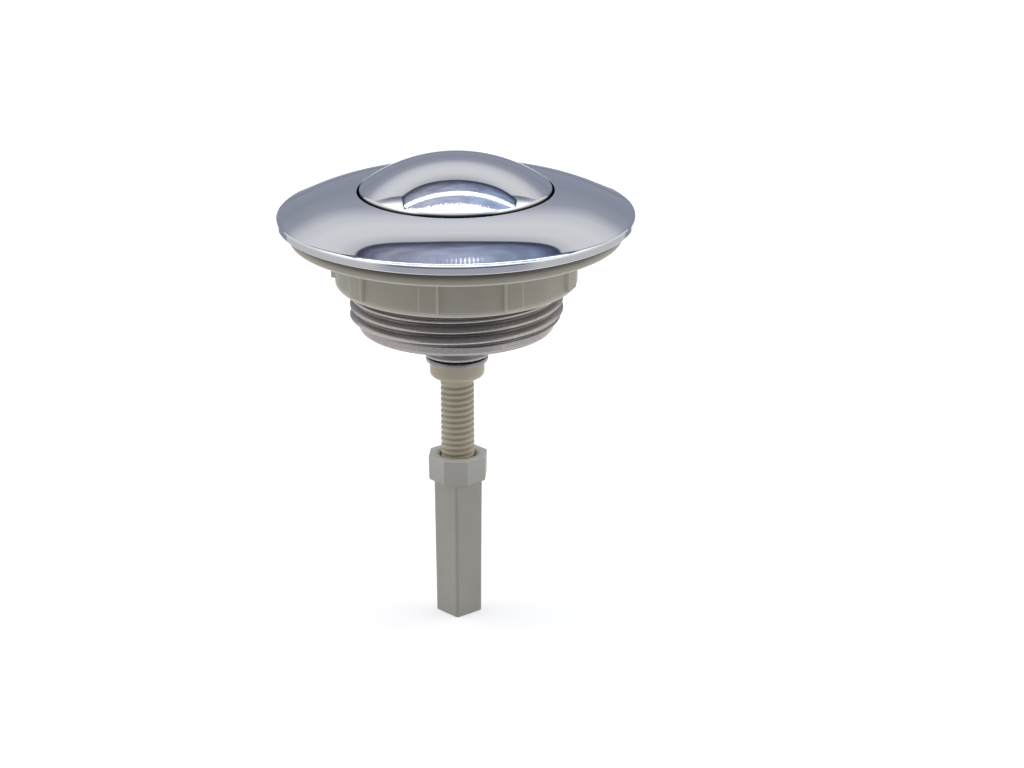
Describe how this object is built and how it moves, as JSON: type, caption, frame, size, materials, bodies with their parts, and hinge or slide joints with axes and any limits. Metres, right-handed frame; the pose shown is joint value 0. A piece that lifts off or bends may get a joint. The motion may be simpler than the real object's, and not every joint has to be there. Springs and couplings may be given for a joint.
{
  "type": "push button cistern actuator",
  "caption": "Domed chrome push button in a round flange with a threaded shank, a flanged back nut and a threaded plunger rod with an extension sleeve that presses a flush valve.",
  "frame": {"origin": "centre of the shank, in the plane of the rim's seat on the cistern lid", "axes": "+Z along the button's axis, up out of the cistern; the button is pressed along -Z"},
  "size_m": [0.08, 0.08, 0.1088],
  "materials": {
    "chrome_plating": "bright chrome plating on ABS",
    "beige_moulding": "satin moulded ABS, grey beige",
    "rod_moulding": "satin moulded acetal, tan beige",
    "washer_steel": "plain stamped steel",
    "spring_steel": "drawn stainless wire",
    "grey_moulding": "satin moulded ABS, cool grey"
  },
  "bodies": {
    "housing": {"housing": "chrome_plating", "return_spring": "spring_steel"},
    "button": {"button": "chrome_plating", "plunger_rod": "rod_moulding", "stop_washer": "washer_steel"},
    "back_nut": {"back_nut": "beige_moulding"},
    "extension_sleeve": {"extension_sleeve": "grey_moulding"}
  },
  "joints": [
    {"name": "button_push", "type": "slide", "parent": "housing", "child": "button", "axis": [0, 0, -1], "range_m": [0, 0.006], "stiffness_N_per_m": 900, "springref_m": -0.005, "deforming": ["return_spring"]},
    {"name": "nut_travel", "type": "slide", "parent": "housing", "child": "back_nut", "axis": [0, 0, -1], "range_m": [0, 0.008]},
    {"name": "sleeve_adjust", "type": "slide", "parent": "button", "child": "extension_sleeve", "axis": [0, 0, -1], "range_m": [0, 0.0025]}
  ]
}
